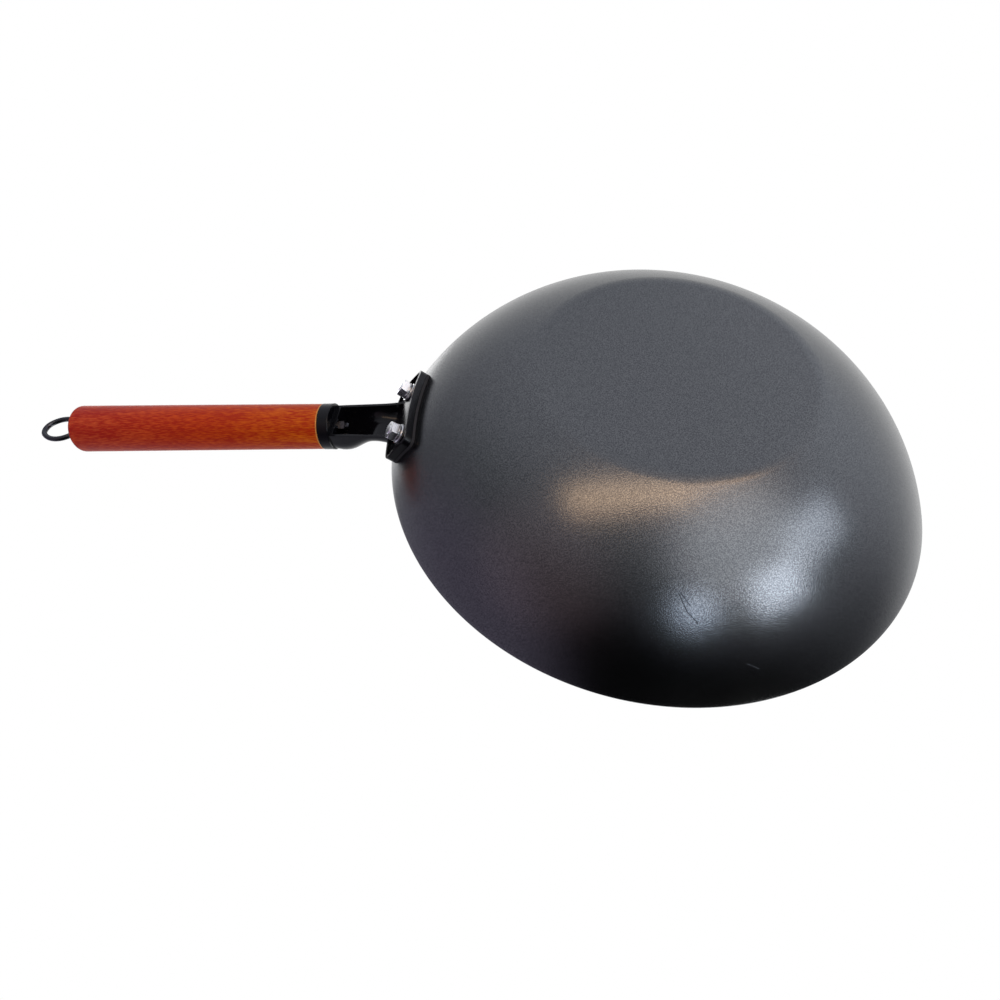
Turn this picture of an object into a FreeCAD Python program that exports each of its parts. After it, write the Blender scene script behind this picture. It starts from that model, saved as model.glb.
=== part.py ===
"""Carbon steel wok with a bolted handle, in millimetres.

Standing as in use: +Z up, the origin in the middle of the flat base's underside, the handle along +X.
Every wall line is a pair of arcs about fixed centres, so the pad and the flange follow the bowl exactly.
The handle starts from a point on the wall below the rim, so it moves with the bowl.
"""
import FreeCAD, Part
import math
import os

os.makedirs("parts", exist_ok=True)
V = FreeCAD.Vector

# Bowl
RIM_R = 160.0            # outside radius at the rim
DEPTH = 73.8             # outside height from the base to the rim's outer edge
BASE_R = 71.5            # flat of the base
KNUCKLE_R = 22.0         # turn from the base into the wall
KNUCKLE_TURN = 22.5      # degrees turned by the knuckle
STEEL = 1.6              # sheet of the bowl

# Handle line
TILT = 8.6               # rise of the handle, degrees
HANDLE_DROP = 5.4        # from the rim down the wall to the handle line
NECK_LEN = 49.0          # from the wall to the wood

# Wood grip
GRIP_LEN = 173.0
GRIP_R_IN = 14.3         # radius at the ferrule
GRIP_R_OUT = 15.45       # radius at the outer end
GRIP_ROUND = 2.0

# Ferrule cap
CAP_R = 14.6
CAP_WALL = 1.2
CAP_DEPTH = 5.5          # depth of the cup round the wood
CAP_END = 1.6            # wall between the wood and the neck

# Neck channel
NECK_SHEET = 1.8
NECK_HALF = 13.2         # half width at the cap
NECK_SPREAD = 4.0        # added half width at the flange
NECK_RIM = 5.4           # open edges below the handle line
NECK_BACK = 14.0         # back above the handle line at the cap
SADDLE_BACK = 4.4        # back at its lowest
NECK_CORNER = 12.8       # rounding of the back at the cap
SADDLE_CORNER = 9.2

# Flange, measured along the wall
PAD = 1.6                # pad between the bowl and the flange
FLANGE_SHEET = 1.8
SKIRT = 4.4              # turned edges, measured from the pad
FLANGE_DROP = 4.8        # from the rim to the flange
FLANGE_TALL = 25.0
FLANGE_WIDE_LOW = 60.0   # width of the edge toward the base
FLANGE_WIDE_HIGH = 62.0  # width of the edge toward the rim
CORNER_R = 5.0

# Flange screws, M6
SCREW_R = 3.0
SCREW_HOLE_R = 3.2
SCREW_SPACE = 34.0
SCREW_RISE = 12.5        # from the flange's lower edge
HEAD_R = 6.5
HEAD_H = 2.6
SEAT_R = 6.4
SEAT_LIFT = 0.4
WASHER_R = 6.0
WASHER_T = 1.0
SPRING_R = 5.3
SPRING_T = 1.6
SPLIT_W = 1.0
NUT_FLATS = 10.0
NUT_T = 4.6
SCREW_OUT = 0.4          # thread past the nut

# Tie rod and hanging loop
ROD_R = 2.5
ROD_OUT = 2.0            # thread past the nut
LOOP_LONG = 12.5         # middle line of the loop, half its length
LOOP_WIDE = 9.1          # half its width
LOOP_WIRE = 1.75         # wire radius
COLLAR_R = 3.8
COLLAR_LEN = 2.9         # shoulder between the loop and its washer
END_WASHER_R = 7.5
END_WASHER_T = 1.4
TIE_NUT_FLATS = 8.0
TIE_NUT_T = 4.0
TIE_WASHER_R = 5.0
TIE_WASHER_T = 1.0


def rad(a):
    return math.radians(a)


# Wall line: the knuckle arc, then one arc tangent to it that ends at the rim
A0 = rad(KNUCKLE_TURN)
R1 = BASE_R + KNUCKLE_R * math.sin(A0)
Z1 = KNUCKLE_R * (1 - math.cos(A0))
CHORD = math.hypot(RIM_R - R1, DEPTH - Z1)
A1 = 2 * math.atan2(DEPTH - Z1, RIM_R - R1) - A0
WALL_R = CHORD / (2 * math.sin((A1 - A0) / 2))
WALL_CR = R1 - WALL_R * math.sin(A0)
WALL_CZ = Z1 + WALL_R * math.cos(A0)


def wall(a, off=0.0):
    """Point on the wall line at angle a (radians), moved out along the wall's normal."""
    return V(WALL_CR + (WALL_R + off) * math.sin(a), 0, WALL_CZ - (WALL_R + off) * math.cos(a))


def knuckle(a, off=0.0):
    """Point on the knuckle line at angle a (radians), moved out along its normal."""
    return V(BASE_R + (KNUCKLE_R + off) * math.sin(a), 0, KNUCKLE_R - (KNUCKLE_R + off) * math.cos(a))


# Places on the wall that the handle parts are set by
FLANGE_HIGH = A1 - FLANGE_DROP / WALL_R
FLANGE_LOW = FLANGE_HIGH - FLANGE_TALL / WALL_R
FLANGE_MID = (FLANGE_LOW + FLANGE_HIGH) / 2
SCREW_WALL = FLANGE_LOW + SCREW_RISE / WALL_R
SCREW_TURN = math.degrees(math.asin(SCREW_SPACE / 2 / wall(SCREW_WALL).x))
START = wall(A1 - HANDLE_DROP / WALL_R)
SEAT = PAD + FLANGE_SHEET + SEAT_LIFT
NUT_AT = SEAT + WASHER_T + SPRING_T
SCREW_END = NUT_AT + NUT_T + SCREW_OUT
BULKHEAD = CAP_DEPTH + CAP_END
CUP_R = CAP_R - CAP_WALL
NUT_SEAT = BULKHEAD + NECK_SHEET + TIE_WASHER_T


def arc(f, a, b, off):
    return Part.Arc(f(a, off), f((a + b) / 2, off), f(b, off)).toShape()


def line(p, q):
    return Part.LineSegment(p, q).toShape()


def turned(edges, degrees=360.0):
    face = Part.Face(Part.Wire(edges))
    return face.revolve(V(0, 0, 0), V(0, 0, 1), degrees)


def about_z(shape, degrees):
    s = shape.copy()
    s.rotate(V(0, 0, 0), V(0, 0, 1), degrees)
    return s


def on_handle(shape):
    """Shape drawn with the handle line along X, the wood starting at the origin, moved to its place."""
    s = shape.copy()
    s.translate(V(NECK_LEN, 0, 0))
    s.rotate(V(0, 0, 0), V(0, 1, 0), -TILT)
    s.translate(START)
    return s


def on_wall(shape, a):
    """Shape drawn along Z from the wall's outer face, moved to a wall angle."""
    s = shape.copy()
    s.rotate(V(0, 0, 0), V(0, 1, 0), 180 - math.degrees(a))
    s.translate(wall(a))
    return s


def at_screw(shape, degrees):
    return about_z(on_wall(shape, SCREW_WALL), degrees)


def rod(r, x0, x1):
    return Part.makeCylinder(r, x1 - x0, V(x0, 0, 0), V(1, 0, 0))


def hexagon(flats, height):
    r = flats / math.sqrt(3)
    points = [V(r * math.cos(rad(60 * k)), r * math.sin(rad(60 * k)), 0) for k in range(7)]
    return Part.Face(Part.makePolygon(points)).extrude(V(0, 0, height))


def hex_nut(flats, height, bore):
    """Hexagon with both ends' corners turned off, and its bore."""
    tip = flats / math.sqrt(3) * 1.01
    drop = 0.6 * (tip - flats / 2)
    cone_low = Part.makeCone(flats / 2, tip, drop, V(0, 0, 0), V(0, 0, 1))
    body = Part.makeCylinder(tip, height - 2 * drop, V(0, 0, drop), V(0, 0, 1))
    cone_high = Part.makeCone(tip, flats / 2, drop, V(0, 0, height - drop), V(0, 0, 1))
    drum = cone_low.fuse(body).fuse(cone_high)
    return hexagon(flats, height).common(drum).cut(Part.makeCylinder(bore, height))


def both_sides(make):
    return Part.makeCompound([make(SCREW_TURN), make(-SCREW_TURN)])


def save(shape, node):
    shape.exportStep("parts/" + node + ".step")


# Bowl: one turned sheet with a rounded rim and two screw holes
mid = wall(A1, -STEEL / 2)
rim_top = mid + V(math.cos(A1), 0, math.sin(A1)) * (STEEL / 2)
bowl = turned([
    line(V(0, 0, 0), V(BASE_R, 0, 0)),
    arc(knuckle, 0.0, A0, 0.0),
    arc(wall, A0, A1, 0.0),
    Part.Arc(wall(A1), rim_top, wall(A1, -STEEL)).toShape(),
    arc(wall, A1, A0, -STEEL),
    arc(knuckle, A0, 0.0, -STEEL),
    line(V(BASE_R, 0, STEEL), V(0, 0, STEEL)),
    line(V(0, 0, STEEL), V(0, 0, 0)),
])
hole = Part.makeCylinder(SCREW_HOLE_R, 2 * SCREW_END, V(0, 0, -SCREW_END))
for side in (SCREW_TURN, -SCREW_TURN):
    bowl = bowl.cut(at_screw(hole, side))
save(bowl, "wok_bowl")


def wall_band(d0, d1):
    """Band round the bowl between two wall offsets, taller and wider than the flange."""
    low = FLANGE_LOW - 0.2 * FLANGE_TALL / WALL_R
    high = FLANGE_HIGH + 0.2 * FLANGE_TALL / WALL_R
    half = math.degrees(FLANGE_WIDE_HIGH / wall(low).x)
    edges = [
        arc(wall, low, high, d0),
        line(wall(high, d0), wall(high, d1)),
        arc(wall, high, low, d1),
        line(wall(low, d1), wall(low, d0)),
    ]
    return about_z(turned(edges, 2 * half), -half)


def blank(low_wide, high_wide, inset, corner):
    """Outline of the flange as a bar square to the wall at the flange's middle."""
    reach = SKIRT + PAD + FLANGE_WIDE_HIGH / 4
    x = FLANGE_TALL / 2 - inset
    points = [
        V(x, -low_wide / 2, -reach),
        V(x, low_wide / 2, -reach),
        V(-x, high_wide / 2, -reach),
        V(-x, -high_wide / 2, -reach),
        V(x, -low_wide / 2, -reach),
    ]
    bar = Part.Face(Part.makePolygon(points)).extrude(V(0, 0, 2 * reach))
    if corner > 0:
        bar = bar.makeFillet(corner, [e for e in bar.Edges if abs(e.Length - 2 * reach) < 1e-6])
    return on_wall(bar, FLANGE_MID)


# Pad: follows the bowl's outside under the flange
outline = blank(FLANGE_WIDE_LOW, FLANGE_WIDE_HIGH, 0.0, CORNER_R)
pad = wall_band(0.0, PAD).common(outline)
for side in (SCREW_TURN, -SCREW_TURN):
    pad = pad.cut(at_screw(hole, side))
save(pad, "bracket_pad")


def neck_section(x, half, rim, back, corner):
    """Closed outline across the neck: two walls, two rounded corners and the back."""
    c = corner * (1 - math.sqrt(0.5))
    p = [
        V(x, -half, -rim),
        V(x, -half, back - corner),
        V(x, -half + c, back - c),
        V(x, -half + corner, back),
        V(x, half - corner, back),
        V(x, half - c, back - c),
        V(x, half, back - corner),
        V(x, half, -rim),
    ]
    return Part.Wire([
        line(p[0], p[1]),
        Part.Arc(p[1], p[2], p[3]).toShape(),
        line(p[3], p[4]),
        Part.Arc(p[4], p[5], p[6]).toShape(),
        line(p[6], p[7]),
        line(p[7], p[0]),
    ])


def neck_solid(inset, rim):
    """Neck as a filled body: full at the cap, drawn in to a saddle, spread at the flange."""
    x0 = -BULKHEAD
    run = NECK_LEN - BULKHEAD
    full = NECK_BACK - SADDLE_BACK
    round_off = NECK_CORNER - SADDLE_CORNER
    sections = []
    for k, lift, spread in ((0.0, 1.0, 0.0), (0.27, 0.96, 0.1), (0.44, 0.42, 0.15), (0.6, 0.0, 0.2),
                            (0.8, 0.04, 0.3), (1.0, 0.3, 0.6), (1.14, 0.55, 1.0)):
        sections.append(neck_section(
            x0 - run * k,
            NECK_HALF + NECK_SPREAD * spread - inset,
            rim,
            SADDLE_BACK + full * lift - inset,
            SADDLE_CORNER + round_off * lift - inset,
        ))
    return Part.makeLoft(sections, True, False)


# Bracket: channel neck joined to a flange with turned edges, open toward the base
over = A1 + 0.14
inside = turned([
    arc(wall, A0, over, PAD),
    line(wall(over, PAD), V(0, 0, wall(over, PAD).z)),
    line(V(0, 0, wall(over, PAD).z), V(0, 0, wall(A0, PAD).z)),
    line(V(0, 0, wall(A0, PAD).z), wall(A0, PAD)),
])
neck = neck_solid(0.0, NECK_RIM)
end_wall = neck.common(rod(2 * NECK_BACK, -BULKHEAD - NECK_SHEET, -BULKHEAD)).cut(rod(ROD_R, -NUT_SEAT, 0))
neck = neck.cut(neck_solid(NECK_SHEET, 1.8 * NECK_RIM)).fuse(end_wall)
neck = on_handle(neck).cut(inside)
floor = PAD + FLANGE_SHEET
thin = 2 * FLANGE_SHEET
hollow = blank(FLANGE_WIDE_LOW - thin, FLANGE_WIDE_HIGH - thin, FLANGE_SHEET, CORNER_R - FLANGE_SHEET)
tray = wall_band(PAD, PAD + SKIRT).common(outline)
tray = tray.cut(wall_band(floor, floor + SKIRT).common(hollow))
throat = on_handle(neck_solid(NECK_SHEET, 3 * NECK_RIM)).common(wall_band(floor, floor + SKIRT))
bracket = tray.cut(throat).fuse(neck)
seat = Part.makeCylinder(SEAT_R, FLANGE_SHEET / 2 + SEAT_LIFT, V(0, 0, PAD + FLANGE_SHEET / 2))
for side in (SCREW_TURN, -SCREW_TURN):
    bracket = bracket.fuse(at_screw(seat, side)).cut(at_screw(hole, side))
save(bracket.removeSplitter(), "handle_bracket")

# Flange screws: low round heads shaped to the bowl's inside
head_ball = (HEAD_R ** 2 + HEAD_H ** 2) / (2 * HEAD_H)
dome = Part.makeSphere(head_ball, V(0, 0, -STEEL - HEAD_H + head_ball))
dome = dome.common(Part.makeCylinder(HEAD_R, HEAD_H + STEEL / 2, V(0, 0, -STEEL - HEAD_H)))
sheet = turned([
    arc(wall, A0, A1, SCREW_END),
    line(wall(A1, SCREW_END), wall(A1, -STEEL)),
    arc(wall, A1, A0, -STEEL),
    line(wall(A0, -STEEL), wall(A0, SCREW_END)),
])
shank = Part.makeCylinder(SCREW_R, SCREW_END + 1.5 * STEEL, V(0, 0, -1.5 * STEEL))
shank = shank.makeChamfer(0.2 * SCREW_R, [shank.Edges[0]])


def screw(side):
    head = at_screw(dome, side).cut(sheet)
    return head.fuse(at_screw(shank, side)).removeSplitter()


save(both_sides(screw), "bowl_screw")

# Washers and nuts of the flange screws
bore = Part.makeCylinder(SCREW_HOLE_R, 2 * SCREW_END)
plain = Part.makeCylinder(WASHER_R, WASHER_T, V(0, 0, SEAT)).cut(bore)
save(both_sides(lambda side: at_screw(plain, side)), "screw_washer")

spring = Part.makeCylinder(SPRING_R, SPRING_T, V(0, 0, SEAT + WASHER_T)).cut(bore)
split = Part.makeBox(2 * SPRING_R, SPLIT_W, 4 * SPRING_T, V(0, -SPLIT_W / 2, -2 * SPRING_T))
split.rotate(V(0, 0, 0), V(1, 0, 0), 25)
split.rotate(V(0, 0, 0), V(0, 0, 1), 215)
split.translate(V(0, 0, SEAT + WASHER_T + SPRING_T / 2))
save(both_sides(lambda side: at_screw(spring.cut(split), side)), "spring_washer")

nut = hex_nut(NUT_FLATS, NUT_T, SCREW_R)
nut.rotate(V(0, 0, 0), V(0, 0, 1), 12)
nut.translate(V(0, 0, NUT_AT))
save(both_sides(lambda side: at_screw(nut, side)), "screw_nut")

# Ferrule cap: cup round the end of the wood, held against the end wall of the neck
cap = rod(CAP_R, -BULKHEAD, 0)
neck_end = [e for e in cap.Edges if abs(e.CenterOfMass.x + BULKHEAD) < 0.01]
cap = cap.makeFillet(0.5 * CAP_WALL, neck_end)
cap = cap.cut(rod(CUP_R, -CAP_DEPTH, 1)).cut(rod(ROD_R, -BULKHEAD - 1, 0))
save(on_handle(cap), "ferrule_cap")

# Wood grip: turned taper, a spigot in the cap and a bore for the tie rod
taper = Part.makeCone(GRIP_R_IN, GRIP_R_OUT, GRIP_LEN, V(0, 0, 0), V(1, 0, 0))
outer = [e for e in taper.Edges if abs(e.CenterOfMass.x - GRIP_LEN) < 0.01]
taper = taper.makeFillet(GRIP_ROUND, outer)
inner = [e for e in taper.Edges if abs(e.CenterOfMass.x) < 0.01]
taper = taper.makeChamfer(0.6, inner)
grip = taper.fuse(rod(CUP_R, -CAP_DEPTH, GRIP_R_IN)).cut(rod(ROD_R, -BULKHEAD, GRIP_LEN + 1))
save(on_handle(grip.removeSplitter()), "wood_grip")

# Tie rod: through the wood, its outer end a shoulder and a wire loop
SHOULDER_AT = GRIP_LEN + END_WASHER_T
LOOP_X = SHOULDER_AT + COLLAR_LEN + LOOP_LONG
ROD_END = NUT_SEAT + TIE_NUT_T + ROD_OUT
tie = rod(ROD_R, -ROD_END, SHOULDER_AT)
inner_end = [e for e in tie.Edges if abs(e.CenterOfMass.x + ROD_END) < 0.01]
tie = tie.makeChamfer(0.2 * ROD_R, inner_end)
collar = Part.makeCone(COLLAR_R, LOOP_WIRE, COLLAR_LEN, V(SHOULDER_AT, 0, 0), V(1, 0, 0))
END_R = 0.77 * LOOP_WIDE
END_X = LOOP_LONG - END_R
SIDE_R = (END_X ** 2 + LOOP_WIDE ** 2 - END_R ** 2) / (2 * (LOOP_WIDE - END_R))
SIDE_Y = SIDE_R - LOOP_WIDE
MEET = math.degrees(math.atan2(SIDE_Y, END_X))


def bend(radius, x, y, start, sweep):
    """Piece of the loop's wire on an arc about one centre, measured from the loop's middle."""
    disc = Part.Face(Part.Wire([Part.Circle(V(radius, 0, 0), V(0, 1, 0), LOOP_WIRE).toShape()]))
    disc.rotate(V(0, 0, 0), V(0, 0, 1), start)
    disc.translate(V(LOOP_X + x, y, 0))
    return disc.revolve(V(LOOP_X + x, y, 0), V(0, 0, 1), sweep)


loop = bend(END_R, END_X, 0, -MEET, 2 * MEET)
loop = loop.fuse(bend(SIDE_R, 0, -SIDE_Y, MEET, 180 - 2 * MEET))
loop = loop.fuse(bend(END_R, -END_X, 0, 180 - MEET, 2 * MEET))
loop = loop.fuse(bend(SIDE_R, 0, SIDE_Y, 180 + MEET, 180 - 2 * MEET))
save(on_handle(tie.fuse(collar).fuse(loop).removeSplitter()), "tie_rod")

end_washer = rod(END_WASHER_R, GRIP_LEN, SHOULDER_AT)
edge = [e for e in end_washer.Edges if abs(e.CenterOfMass.x - SHOULDER_AT) < 0.01]
end_washer = end_washer.makeFillet(0.5 * END_WASHER_T, edge).cut(rod(ROD_R, GRIP_LEN - 1, SHOULDER_AT + 1))
save(on_handle(end_washer), "end_washer")

# Tie nut and washer, reached through the open side of the neck
tie_washer = rod(TIE_WASHER_R, -NUT_SEAT, TIE_WASHER_T - NUT_SEAT).cut(rod(ROD_R, -NUT_SEAT - 1, 0))
save(on_handle(tie_washer), "tie_washer")

tie_nut = hex_nut(TIE_NUT_FLATS, TIE_NUT_T, ROD_R)
tie_nut.rotate(V(0, 0, 0), V(0, 1, 0), -90)
tie_nut.translate(V(-NUT_SEAT, 0, 0))
save(on_handle(tie_nut), "tie_nut")
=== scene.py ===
"""Carbon steel wok with a screwed-on wood handle, seen from under its base as in the photograph.

The bowl is one line turned about the upright axis. The line leaves the axis flat, turns up through the small
arc of the knuckle, climbs the large arc of the wall, goes round the half circle of the cut edge and comes
back at the sheet's thickness. The other pieces are the frame's own solids with their finishes. Lengths are
in metres.
"""
import math
import bpy
import numpy as np
from mathutils import Matrix, Vector


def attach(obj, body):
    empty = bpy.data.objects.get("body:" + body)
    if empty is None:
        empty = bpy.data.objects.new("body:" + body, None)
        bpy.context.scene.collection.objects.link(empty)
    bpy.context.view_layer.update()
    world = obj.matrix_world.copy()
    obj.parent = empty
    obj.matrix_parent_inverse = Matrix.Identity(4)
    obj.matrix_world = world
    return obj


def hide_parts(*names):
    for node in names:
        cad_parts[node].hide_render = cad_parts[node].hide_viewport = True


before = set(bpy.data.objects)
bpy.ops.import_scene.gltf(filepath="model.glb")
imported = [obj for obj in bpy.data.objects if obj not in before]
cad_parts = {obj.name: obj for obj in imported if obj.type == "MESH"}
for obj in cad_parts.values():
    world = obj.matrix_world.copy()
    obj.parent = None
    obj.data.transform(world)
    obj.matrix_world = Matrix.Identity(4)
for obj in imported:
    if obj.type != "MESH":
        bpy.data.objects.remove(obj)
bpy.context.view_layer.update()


# Bowl: carbon steel sheet pressed to a flat base and a round wall, with the cut edge at the rim rounded.
# It is coated inside and out with a baked dark grey finish, and the flange screws go through the wall.
SHEET = 0.0016
BASE_R = 0.0715
KNUCKLE_R = 0.022
KNUCKLE_TURN = math.radians(22.5)
RIM_R = 0.160
DEPTH = 0.0738
FLAT_POINTS = 10
KNUCKLE_POINTS = 13
WALL_POINTS = 49
EDGE_POINTS = 11
ROUND_STEPS = 360


def arc(cr, cz, radius, start, end, points):
    """Arc in (r, z): its point at angle a, outward from straight down, is centre + radius (sin a, -cos a)."""
    a = np.linspace(start, end, points)
    return np.stack([cr + radius * np.sin(a), cz - radius * np.cos(a)], axis=1)


def bowl_line():
    """Half section of the bowl in (r, z), from under the middle of the base round the rim to above it.

    The wall's arc runs from the end of the knuckle to the rim. Its turn at the rim is twice the slope of the
    chord between these two, less the knuckle's turn. Its radius is half the chord over the sine of half the
    turn between them.
    """
    r1 = BASE_R + KNUCKLE_R * math.sin(KNUCKLE_TURN)
    z1 = KNUCKLE_R * (1 - math.cos(KNUCKLE_TURN))
    rim_turn = 2 * math.atan2(DEPTH - z1, RIM_R - r1) - KNUCKLE_TURN
    wall_r = math.hypot(RIM_R - r1, DEPTH - z1) / (2 * math.sin((rim_turn - KNUCKLE_TURN) / 2))
    wall_cr = r1 - wall_r * math.sin(KNUCKLE_TURN)
    wall_cz = z1 + wall_r * math.cos(KNUCKLE_TURN)
    edge_r = RIM_R - SHEET / 2 * math.sin(rim_turn)
    edge_z = DEPTH + SHEET / 2 * math.cos(rim_turn)
    flat = np.linspace(0, BASE_R, FLAT_POINTS)[:-1]
    return np.concatenate([
        np.stack([flat, 0 * flat], axis=1),
        arc(BASE_R, KNUCKLE_R, KNUCKLE_R, 0, KNUCKLE_TURN, KNUCKLE_POINTS)[:-1],
        arc(wall_cr, wall_cz, wall_r, KNUCKLE_TURN, rim_turn, WALL_POINTS)[:-1],
        arc(edge_r, edge_z, SHEET / 2, rim_turn, rim_turn + math.pi, EDGE_POINTS)[:-1],
        arc(wall_cr, wall_cz, wall_r - SHEET, rim_turn, KNUCKLE_TURN, WALL_POINTS)[:-1],
        arc(BASE_R, KNUCKLE_R, KNUCKLE_R - SHEET, KNUCKLE_TURN, 0, KNUCKLE_POINTS),
        np.stack([flat, 0 * flat + SHEET], axis=1)[::-1],
    ])


def turned(name, line, steps):
    """Piece turned about the upright axis: at angle a, point (r, z) of the line is (r cos a, r sin a, z).

    The line starts and ends on the axis, where one point closes the mesh.
    """
    a = np.arange(steps) * 2 * math.pi / steps
    r, z = line[1:-1, 0], line[1:-1, 1]
    grid = np.stack([np.outer(np.cos(a), r), np.outer(np.sin(a), r), np.outer(np.ones(steps), z)], axis=2)
    points = np.concatenate([grid.reshape(-1, 3), [[0, 0, line[0, 1]], [0, 0, line[-1, 1]]]])
    at = np.arange(grid.shape[0] * grid.shape[1]).reshape(grid.shape[:2])
    on = np.roll(at, -1, axis=0)
    quads = np.stack([at[:, :-1], on[:, :-1], on[:, 1:], at[:, 1:]], axis=2).reshape(-1, 4)
    low = np.stack([on[:, 0], at[:, 0], 0 * at[:, 0] + at.size], axis=1)
    high = np.stack([at[:, -1], on[:, -1], 0 * at[:, 0] + at.size + 1], axis=1)
    mesh = bpy.data.meshes.new(name)
    mesh.from_pydata(points.tolist(), [], quads.tolist() + low.tolist() + high.tolist())
    mesh.shade_smooth()
    piece = bpy.data.objects.new(name, mesh)
    bpy.context.collection.objects.link(piece)
    return piece


def srgb(code):
    """Linear colour of a hex code: each channel is undone from the display curve."""
    c = np.array([int(code[k:k + 2], 16) for k in (0, 2, 4)]) / 255
    lin = np.where(c <= 0.04045, c / 12.92, ((c + 0.055) / 1.055) ** 2.4)
    return (*lin.tolist(), 1.0)


def add(tree, kind, links=None, **settings):
    """Adds one node: settings name its properties or inputs, and links its inputs with the sockets they take.

    An input that shares its name with another one goes by its number, written as _6 in the settings.
    """
    n = tree.nodes.new(kind)
    for key, value in settings.items():
        if hasattr(n, key):
            setattr(n, key, value)
        else:
            n.inputs[int(key[1:]) if key[0] == "_" else key.replace("_", " ")].default_value = value
    for key, source in (links or {}).items():
        tree.links.new(source, n.inputs[key])
    return n


def material(name):
    """New material with an empty node tree, and that tree."""
    m = bpy.data.materials.new(name)
    m.use_nodes = True
    m.node_tree.nodes.clear()
    return m, m.node_tree


def on_wall(turn, rise):
    """Point of the bowl's outside at an angle in degrees and a height: the line gives its radius there."""
    outside = bowl_line()[:FLAT_POINTS + KNUCKLE_POINTS + WALL_POINTS - 3]
    r = np.interp(rise, outside[:, 1], outside[:, 0])
    return Vector((r * math.cos(math.radians(turn)), r * math.sin(math.radians(turn)), rise))


def scratch(tree, place, start, end, half):
    """Mask of a hairline: one on the straight line between two points, falling to none at a half width."""
    run = end - start
    rel = add(tree, "ShaderNodeVectorMath", {0: place}, operation="SUBTRACT", _1=start)
    part = add(tree, "ShaderNodeVectorMath", {0: rel.outputs[0]}, operation="DOT_PRODUCT",
               _1=run / run.length_squared)
    held = add(tree, "ShaderNodeClamp", {"Value": part.outputs["Value"]})
    foot = add(tree, "ShaderNodeVectorMath", {"Scale": held.outputs[0]}, operation="SCALE", _0=run)
    gap = add(tree, "ShaderNodeVectorMath", {0: rel.outputs[0], 1: foot.outputs[0]}, operation="DISTANCE")
    mask = add(tree, "ShaderNodeMapRange", {"Value": gap.outputs["Value"]},
               From_Min=0.0, From_Max=half, To_Min=1.0, To_Max=0.0)
    return mask.outputs[0]


# Baked coat: a thin film on steel that shines like a dark metal, dulled by a grain of half a millimetre.
# Its gloss wanders a little over a hand's breadth, and hairlines show where it was handled. The grain is
# turned askew, because it fades on the flat layers of the noise and the base lies on one of them.
GRAIN = 0.00055
GRAIN_DEPTH = 0.0004
GRAIN_ASKEW = (0.5, 0.4, 0.3)
GLOSS_PATCH = 0.070
HAIRLINE_HALF = 0.0004
dark_hairline = ((-90.5, 0.0283), (-92.5, 0.0337), "2A2B2D")
dark_hairline_end = ((-92.5, 0.0337), (-94.9, 0.0374), "2A2B2D")
faint_hairline = ((-90.8, 0.0279), (-93.0, 0.0316), "34353A")
bright_hairline = ((-105.1, 0.0543), (-107.4, 0.0573), "E0E4EA")
coat, t = material("baked_coat")
co = add(t, "ShaderNodeTexCoord").outputs["Object"]
askew = add(t, "ShaderNodeMapping", {"Vector": co}, Rotation=GRAIN_ASKEW)
grain = add(t, "ShaderNodeTexNoise", {"Vector": askew.outputs[0]}, Scale=1 / GRAIN, Detail=0.0)
tone = add(t, "ShaderNodeMapRange", {"Value": grain.outputs["Fac"]}, From_Min=0.30, From_Max=0.70)
colour = add(t, "ShaderNodeMix", {0: tone.outputs[0]}, data_type="RGBA",
             _6=srgb("505153"), _7=srgb("6E6F6F")).outputs[2]
for start, end, code in (dark_hairline, dark_hairline_end, faint_hairline, bright_hairline):
    mask = scratch(t, co, on_wall(*start), on_wall(*end), HAIRLINE_HALF)
    colour = add(t, "ShaderNodeMix", {0: mask, 6: colour}, data_type="RGBA", _7=srgb(code)).outputs[2]
patch = add(t, "ShaderNodeTexNoise", {"Vector": co}, Scale=1 / GLOSS_PATCH, Detail=3.0)
rough = add(t, "ShaderNodeMapRange", {"Value": patch.outputs["Fac"]},
            From_Min=0.3, From_Max=0.7, To_Min=0.20, To_Max=0.24)
bump = add(t, "ShaderNodeBump", {"Height": grain.outputs["Fac"]}, Strength=0.10, Distance=GRAIN_DEPTH)
skin = add(t, "ShaderNodeBsdfPrincipled",
           {"Base Color": colour, "Roughness": rough.outputs[0], "Normal": bump.outputs[0]},
           Metallic=1.0, Specular_Tint=srgb("ECECEC"))
add(t, "ShaderNodeOutputMaterial", {"Surface": skin.outputs[0]})

bowl = turned("bowl", bowl_line(), ROUND_STEPS)
bowl.data.materials.append(coat)
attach(bowl, "root")
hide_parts("wok_bowl")


# Pad: rubber sheet cut to the flange's outline, squeezed between it and the bowl so that neither scratches
# the other. Matt, with a fine dust that is drawn coarse enough to show.
DUST = 0.0016


def finish(nodes, m):
    """Gives solids of the frame their finish."""
    for node in nodes:
        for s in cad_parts[node].material_slots:
            s.material = m


rubber, t = material("rubber_sheet")
co = add(t, "ShaderNodeTexCoord").outputs["Object"]
dust = add(t, "ShaderNodeTexNoise", {"Vector": co}, Scale=1 / DUST, Detail=3.0)
colour = add(t, "ShaderNodeMix", {0: dust.outputs["Fac"]}, data_type="RGBA",
             _6=srgb("131315"), _7=srgb("26262A")).outputs[2]
skin = add(t, "ShaderNodeBsdfPrincipled", {"Base Color": colour}, Roughness=0.8)
add(t, "ShaderNodeOutputMaterial", {"Surface": skin.outputs[0]})
finish(["bracket_pad"], rubber)

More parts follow.
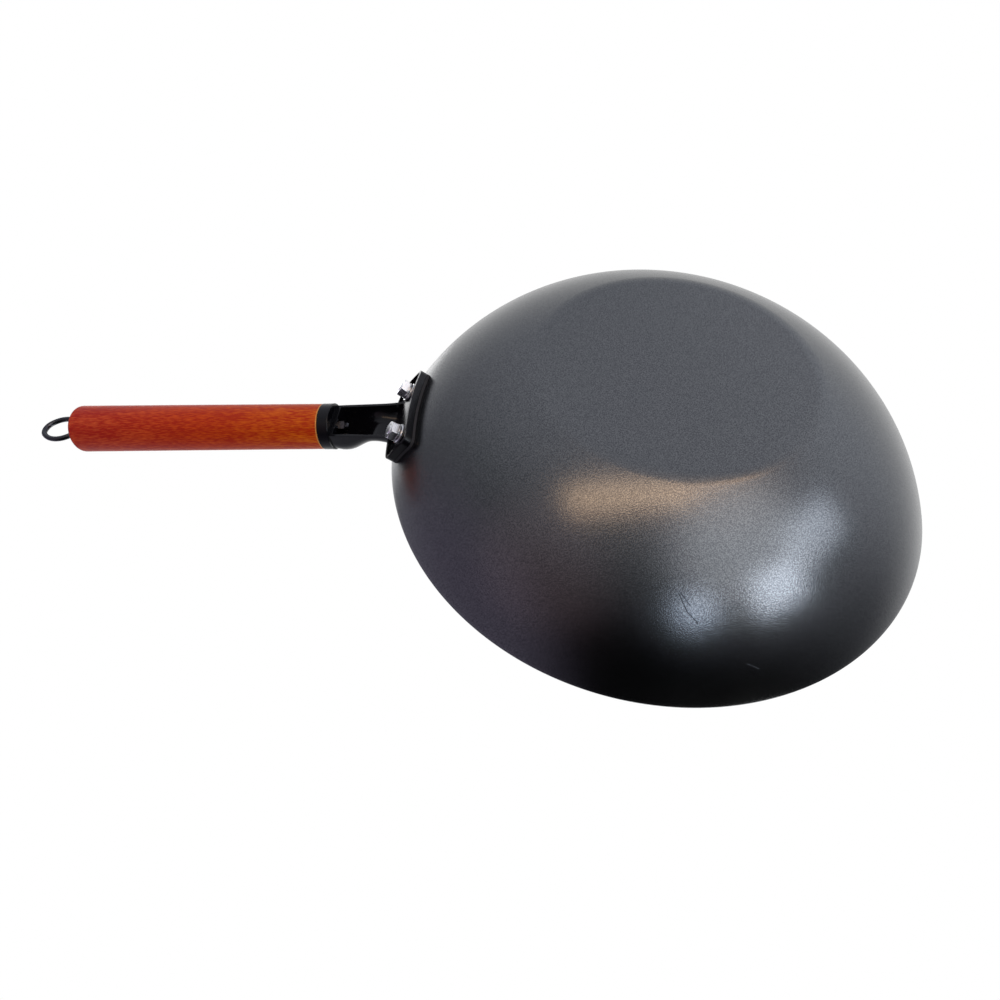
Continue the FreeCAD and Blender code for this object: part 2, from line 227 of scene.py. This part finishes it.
# Bracket and ferrule cap: pressed steel with gloss black stoving enamel. The enamel flows back from the
# edges, which shows as thin bright lines, and dries with a faint orange peel of about 2 mm.
ENAMEL_EDGE = 0.0004
PEEL = 0.0024
PEEL_DEPTH = 0.0003
enamel, t = material("black_enamel")
co = add(t, "ShaderNodeTexCoord").outputs["Object"]
peel = add(t, "ShaderNodeTexNoise", {"Vector": co}, Scale=1 / PEEL, Detail=2.0)
rough = add(t, "ShaderNodeMapRange", {"Value": peel.outputs["Fac"]},
            From_Min=0.3, From_Max=0.7, To_Min=0.14, To_Max=0.22)
edge = add(t, "ShaderNodeBevel", samples=6, Radius=ENAMEL_EDGE)
bump = add(t, "ShaderNodeBump", {"Height": peel.outputs["Fac"], "Normal": edge.outputs[0]},
           Strength=0.12, Distance=PEEL_DEPTH)
skin = add(t, "ShaderNodeBsdfPrincipled", {"Roughness": rough.outputs[0], "Normal": bump.outputs[0]},
           Base_Color=srgb("08080B"), IOR=1.3)
add(t, "ShaderNodeOutputMaterial", {"Surface": skin.outputs[0]})
finish(["handle_bracket", "ferrule_cap"], enamel)

# Flange fasteners: turned steel screws with plain and split washers and hex nuts, bright zinc plated.
# Plating gives a pale, slightly clouded metal with worn, rounded edges.
ZINC_CLOUD = 0.0007
WORN_EDGE = 0.0003
zinc, t = material("zinc_plate")
co = add(t, "ShaderNodeTexCoord").outputs["Object"]
cloud = add(t, "ShaderNodeTexNoise", {"Vector": co}, Scale=1 / ZINC_CLOUD, Detail=2.0)
colour = add(t, "ShaderNodeMix", {0: cloud.outputs["Fac"]}, data_type="RGBA",
             _6=srgb("DADBDD"), _7=srgb("F8F8F8")).outputs[2]
rough = add(t, "ShaderNodeMapRange", {"Value": cloud.outputs["Fac"]}, To_Min=0.22, To_Max=0.36)
edge = add(t, "ShaderNodeBevel", samples=6, Radius=WORN_EDGE)
skin = add(t, "ShaderNodeBsdfPrincipled",
           {"Base Color": colour, "Roughness": rough.outputs[0], "Normal": edge.outputs[0]}, Metallic=1.0)
add(t, "ShaderNodeOutputMaterial", {"Surface": skin.outputs[0]})
finish(["bowl_screw", "screw_washer", "spring_washer", "screw_nut"], zinc)

# Grip: beech turned to a slight taper, stained amber at the ferrule and red brown at the outer end, and
# lacquered. Short darker rays run along it, drawn wider than real ones so that they show. A pale line at the
# ferrule end is a painted highlight on the wood's edge.
GRIP_START = (0.2059, 0.0, 0.0764)
GRIP_TILT = math.radians(-8.6)
GRIP_LEN = 0.173
RAY_WIDTH = 0.0007
RAY_STRETCH = 0.15
RAY_DEPTH = 0.0003
BAND_WIDTH = 0.0067
EDGE_HIGHLIGHT_WIDTH = 0.0011
wood, t = material("stained_beech")
co = add(t, "ShaderNodeTexCoord").outputs["Object"]
turn = add(t, "ShaderNodeMapping", {"Vector": co}, vector_type="TEXTURE",
           Location=GRIP_START, Rotation=(0, GRIP_TILT, 0))
along = add(t, "ShaderNodeSeparateXYZ", {0: turn.outputs[0]}).outputs["X"]
run = add(t, "ShaderNodeMapRange", {"Value": along}, From_Min=0.0, From_Max=GRIP_LEN).outputs[0]
pale = add(t, "ShaderNodeValToRGB", {0: run})
pale.color_ramp.elements[0].color = srgb("C4600A")
pale.color_ramp.elements[1].color = srgb("B84826")
pale.color_ramp.elements.new(0.45).color = srgb("BE460C")
deep = add(t, "ShaderNodeValToRGB", {0: run})
deep.color_ramp.elements[0].color = srgb("9E2A04")
deep.color_ramp.elements[1].color = srgb("941A0E")
drawn = add(t, "ShaderNodeVectorMath", {0: turn.outputs[0]}, operation="MULTIPLY", _1=(RAY_STRETCH, 1, 1))
ray = add(t, "ShaderNodeTexNoise", {"Vector": drawn.outputs[0]}, Scale=1 / RAY_WIDTH, Detail=2.0)
band = add(t, "ShaderNodeTexNoise", {"Vector": drawn.outputs[0]}, Scale=1 / BAND_WIDTH, Detail=2.0)
dash = add(t, "ShaderNodeMapRange", {"Value": ray.outputs["Fac"]},
           From_Min=0.34, From_Max=0.66, To_Min=0.0, To_Max=0.90)
stain = add(t, "ShaderNodeMapRange", {"Value": band.outputs["Fac"]},
            From_Min=0.35, From_Max=0.65, To_Min=0.0, To_Max=0.45)
both = add(t, "ShaderNodeMath", {0: dash.outputs[0], 1: stain.outputs[0]}, operation="ADD", use_clamp=True)
colour = add(t, "ShaderNodeMix", {0: both.outputs[0], 6: pale.outputs[0], 7: deep.outputs[0]},
             data_type="RGBA").outputs[2]
# Painted highlight: a pale amber line on the wood's edge next to the ferrule.
painted_edge_highlight = add(t, "ShaderNodeMapRange", {"Value": along},
          From_Min=EDGE_HIGHLIGHT_WIDTH / 2, From_Max=EDGE_HIGHLIGHT_WIDTH, To_Min=0.8, To_Max=0.0)
colour = add(t, "ShaderNodeMix", {0: painted_edge_highlight.outputs[0], 6: colour}, data_type="RGBA",
             _7=srgb("D89A50")).outputs[2]
bump = add(t, "ShaderNodeBump", {"Height": ray.outputs["Fac"]}, Strength=0.06, Distance=RAY_DEPTH)
skin = add(t, "ShaderNodeBsdfPrincipled", {"Base Color": colour, "Normal": bump.outputs[0]},
           Roughness=0.42, Specular_IOR_Level=0.12)
add(t, "ShaderNodeOutputMaterial", {"Surface": skin.outputs[0]})
finish(["wood_grip"], wood)

# Tie rod: one steel rod through the wood with a bent loop to hang the wok by, a washer under its shoulder
# and a nut in the neck. Black oxide under oil, so it glints along the wire.
OXIDE_FLECK = 0.0014
wire, t = material("black_oxide")
co = add(t, "ShaderNodeTexCoord").outputs["Object"]
fleck = add(t, "ShaderNodeTexNoise", {"Vector": co}, Scale=1 / OXIDE_FLECK, Detail=2.0)
rough = add(t, "ShaderNodeMapRange", {"Value": fleck.outputs["Fac"]}, To_Min=0.16, To_Max=0.28)
colour = add(t, "ShaderNodeMix", {0: fleck.outputs["Fac"]}, data_type="RGBA",
             _6=srgb("343437"), _7=srgb("4C4C50")).outputs[2]
skin = add(t, "ShaderNodeBsdfPrincipled", {"Base Color": colour, "Roughness": rough.outputs[0]},
           Metallic=1.0)
add(t, "ShaderNodeOutputMaterial", {"Surface": skin.outputs[0]})
finish(["tie_rod", "end_washer", "tie_washer", "tie_nut"], wire)

# Stage: a pale floor under the base. The camera looks up from under it, so it shows only to a camera above
# it and lets every other ray pass.
FLOOR_HALF = 20.0
FLOOR_Z = -0.0006
FLOOR_TONE = 0.33
floor_mat, t = material("pale_floor")
way_in = add(t, "ShaderNodeLightPath")
side = add(t, "ShaderNodeNewGeometry")
above = add(t, "ShaderNodeMath", {0: way_in.outputs["Is Camera Ray"], 1: side.outputs["Backfacing"]},
            operation="SUBTRACT", use_clamp=True)
co = add(t, "ShaderNodeTexCoord").outputs["Object"]
tone = add(t, "ShaderNodeTexNoise", {"Vector": co}, Scale=1 / FLOOR_TONE, Detail=4.0)
shade = add(t, "ShaderNodeMapRange", {"Value": tone.outputs["Fac"]}, To_Min=0.80, To_Max=0.84)
matt = add(t, "ShaderNodeBsdfDiffuse", {"Color": shade.outputs[0]})
clear = add(t, "ShaderNodeBsdfTransparent")
mix = add(t, "ShaderNodeMixShader", {0: above.outputs[0], 1: clear.outputs[0], 2: matt.outputs[0]})
add(t, "ShaderNodeOutputMaterial", {"Surface": mix.outputs[0]})
corners = FLOOR_HALF * np.array([(-1, -1, 0), (1, -1, 0), (1, 1, 0), (-1, 1, 0)]) + (0, 0, FLOOR_Z)
mesh = bpy.data.meshes.new("floor")
mesh.from_pydata(corners.tolist(), [], [(0, 1, 2, 3)])
mesh.materials.append(floor_mat)
floor = bpy.data.objects.new("floor", mesh)
bpy.context.collection.objects.link(floor)

# Light: a soft studio set. The walls are wide dim glows, each by its direction from the wok, half
# width in degrees, colour and strength. The background is white to the camera, and the part of it behind
# the wok is white in metal too.
room = ((-0.2, 0.7, -0.7), 120, "EEF2FF", 0.85)
left_wall = ((-0.75, 0.65, -0.15), 50, "F0F6FF", 0.32)
right_wall = ((0.85, -0.4, 0.3), 55, "E8DCFF", 0.40)
ceiling = ((0.1, 0.2, 0.95), 85, "F2F5FF", 0.58)
worktop = ((-0.4, 0.0, -0.9), 26, "FFD0A0", 0.30)
near_floor = ((0.6, -0.6, -0.5), 34, "FFDCE8", 0.25)
window_glow = ((-0.55, -0.42, -0.72), 32, "F4F8FF", 1.50)
BACKDROP_WAY = (-0.17, 0.70, 0.69)
BACKDROP_END = math.radians(75)
BACKDROP_FULL = math.radians(20)
world = bpy.data.worlds.new("studio")
bpy.context.scene.world = world
world.use_nodes = True
t = world.node_tree
t.nodes.clear()
look = add(t, "ShaderNodeTexCoord").outputs["Generated"]
soft = add(t, "ShaderNodeBackground", Strength=0.0).outputs[0]
for way, wide, code, strength in (
        room, left_wall, right_wall, ceiling, worktop, near_floor, window_glow):
    near = add(t, "ShaderNodeVectorMath", {0: look}, operation="DOT_PRODUCT", _1=Vector(way).normalized())
    fade = add(t, "ShaderNodeMapRange", {"Value": near.outputs["Value"]}, interpolation_type="SMOOTHSTEP",
               From_Min=math.cos(math.radians(wide)), From_Max=math.cos(math.radians(wide / 4)))
    power = add(t, "ShaderNodeMath", {0: fade.outputs[0]}, operation="MULTIPLY", _1=strength)
    glow = add(t, "ShaderNodeBackground", {"Strength": power.outputs[0]}, Color=srgb(code))
    soft = add(t, "ShaderNodeAddShader", {0: soft, 1: glow.outputs[0]}).outputs[0]
near = add(t, "ShaderNodeVectorMath", {0: look}, operation="DOT_PRODUCT",
           _1=Vector(BACKDROP_WAY).normalized())
behind = add(t, "ShaderNodeMapRange", {"Value": near.outputs["Value"]}, interpolation_type="SMOOTHSTEP",
             From_Min=math.cos(BACKDROP_END), From_Max=math.cos(BACKDROP_FULL))
rays = add(t, "ShaderNodeLightPath").outputs
mirrored = add(t, "ShaderNodeMath", {0: rays["Is Glossy Ray"], 1: rays["Is Transmission Ray"]},
               operation="MAXIMUM")
seen = add(t, "ShaderNodeMath", {0: mirrored.outputs[0], 1: behind.outputs[0], 2: rays["Is Camera Ray"]},
           operation="MULTIPLY_ADD", use_clamp=True)
white = add(t, "ShaderNodeBackground", Color=srgb("FFFFFF"), Strength=1.0)
pick = add(t, "ShaderNodeMixShader", {0: seen.outputs[0], 1: soft, 2: white.outputs[0]})
add(t, "ShaderNodeOutputWorld", {"Surface": pick.outputs[0]})

# Lamps: two large soft boxes above, a window of three panes low on the side away from the handle, and a warm
# strip in two lengths under the base that draws the long highlight below it. Each has its direction, the way
# that its long side runs, its distance, length and width, colour and power in watts.
SOFT_BOX = (1.4, 1.4)
BOX_SIDE = (1, 0, 0)
PANE_SIDE = (-0.4, 0.9, 0.2)
PANE_FAR = 2.0
STRIP_FAR = 1.5


def lamp(name, way, long_side, far, size, code, power):
    """Soft box facing the origin: its own z is its direction, and its x the long side made square to z."""
    data = bpy.data.lights.new(name, "AREA")
    data.shape = "RECTANGLE"
    data.size, data.size_y = size
    data.energy = power
    data.color = srgb(code)[:3]
    z = Vector(way).normalized()
    x = (Vector(long_side) - z * z.dot(Vector(long_side))).normalized()
    box = bpy.data.objects.new(name, data)
    bpy.context.collection.objects.link(box)
    box.location = z * far
    box.rotation_euler = Matrix((x, z.cross(x), z)).transposed().to_euler()
    box.visible_camera = False


lamp("top_key", (-0.4, -0.45, 0.8), BOX_SIDE, 2.0, SOFT_BOX, "FFFFFF", 22)
lamp("top_fill", (0.6, 0.5, 0.6), BOX_SIDE, 2.2, SOFT_BOX, "FFFFFF", 7)
lamp("large_pane", (-0.75, -0.53, -0.40), PANE_SIDE, PANE_FAR, (0.65, 0.55), "E6F0FF", 5.4)
lamp("side_pane", (-0.87, -0.17, -0.46), PANE_SIDE, PANE_FAR, (0.80, 0.55), "E6F0FF", 3.6)
lamp("small_pane", (-0.32, -0.83, -0.46), PANE_SIDE, PANE_FAR, (0.45, 0.45), "DCEAFF", 2.6)
lamp("long_strip", (0.16, -0.28, -0.95), (-1.0, 0.2, 0.0), STRIP_FAR, (1.2, 0.32), "FFD4A8", 4.0)
lamp("short_strip", (-0.38, -0.06, -0.92), (-0.75, 0.65, 0.0), STRIP_FAR, (0.8, 0.20), "FFCFA0", 1.2)

# Camera: where the photograph was taken from, worked out from the outlines of the rim, base and handle.
cam = bpy.data.cameras.new("camera")
cam.sensor_width = 36.0
cam.lens = 25.2
eye = bpy.data.objects.new("camera", cam)
eye.location = (0.07156, -0.28957, -0.25675)
eye.rotation_euler = [math.radians(a) for a in (-143.586, 1.335, 173.975)]
bpy.context.collection.objects.link(eye)
bpy.context.scene.camera = eye
bpy.context.scene.view_settings.view_transform = "Standard"
